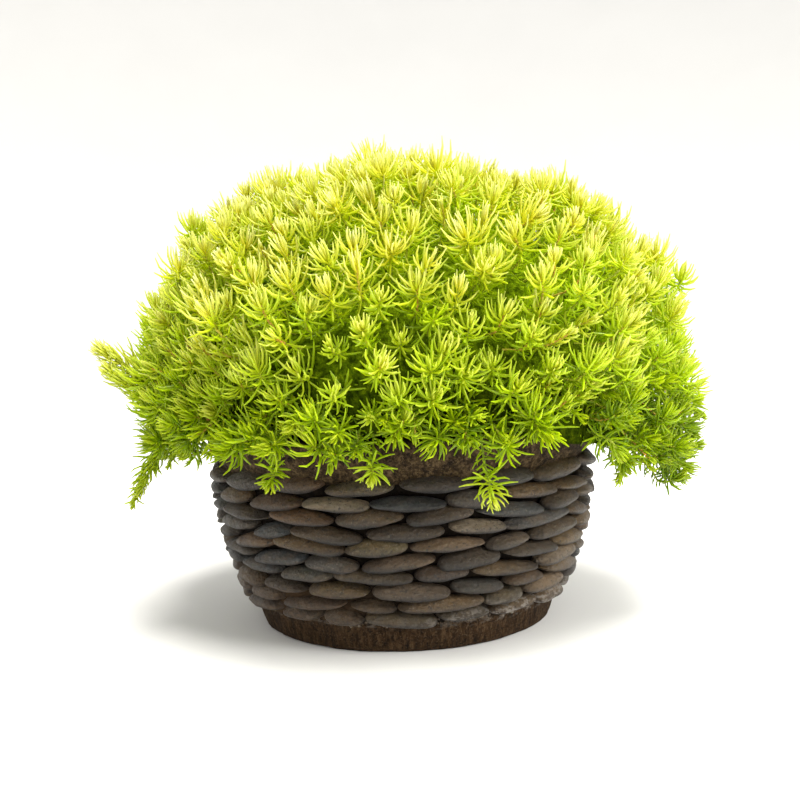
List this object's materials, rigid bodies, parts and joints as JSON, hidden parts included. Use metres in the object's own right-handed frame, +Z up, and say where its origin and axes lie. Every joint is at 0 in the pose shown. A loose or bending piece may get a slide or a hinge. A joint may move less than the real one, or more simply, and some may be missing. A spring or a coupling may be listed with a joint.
{
  "type": "potted needle stonecrop",
  "caption": "Needle-leaved stonecrop in a dense cushion of branching stems that overhangs and trails from a low cement bowl faced with flat river pebbles.",
  "frame": {"origin": "on the surface that the bowl stands on, under the bowl's axis", "axes": "+Z up; -Y towards the front, where the long shoots hang over the rim; +X to the right, where the cushion spills lowest"},
  "size_m": [0.4576, 0.4512, 0.3663],
  "materials": {
    "cement": "brown cement, rough and porous, with fine drag marks on the foot",
    "pebble": "smooth river pebbles in greys, blue-greys and browns, with a dull sheen, in dark mortar",
    "soil": "dark moist potting soil, crumbly and matte",
    "crown_stems": "fleshy needle leaves, yellow-green with pale lime tips, softly glossy",
    "upper_stems": "fleshy needle leaves, yellow-green with pale tips, softly glossy",
    "middle_stems": "fleshy needle leaves, fresh green with paler tips, softly glossy",
    "skirt_stems": "fleshy needle leaves, deeper green, softly glossy"
  },
  "bodies": {
    "root": {"cement_bowl": "cement", "pebble_facing": "pebble", "potting_soil": "soil", "crown_stems_01": "crown_stems", "crown_stems_02": "crown_stems", "crown_stems_03": "crown_stems", "upper_stems_01": "upper_stems", "upper_stems_02": "upper_stems", "upper_stems_03": "upper_stems", "upper_stems_04": "upper_stems", "upper_stems_05": "upper_stems", "upper_stems_06": "upper_stems", "upper_stems_07": "upper_stems", "middle_stems_01": "middle_stems", "middle_stems_02": "middle_stems", "middle_stems_03": "middle_stems", "middle_stems_04": "middle_stems", "middle_stems_05": "middle_stems", "middle_stems_06": "middle_stems", "middle_stems_07": "middle_stems", "middle_stems_08": "middle_stems", "middle_stems_09": "middle_stems", "middle_stems_10": "middle_stems", "skirt_stems_01": "skirt_stems", "skirt_stems_02": "skirt_stems", "skirt_stems_03": "skirt_stems", "skirt_stems_04": "skirt_stems", "skirt_stems_05": "skirt_stems", "skirt_stems_06": "skirt_stems", "skirt_stems_07": "skirt_stems", "skirt_stems_08": "skirt_stems", "skirt_stems_09": "skirt_stems", "skirt_stems_10": "skirt_stems", "skirt_stems_11": "skirt_stems", "skirt_stems_12": "skirt_stems"}
  },
  "joints": []
}
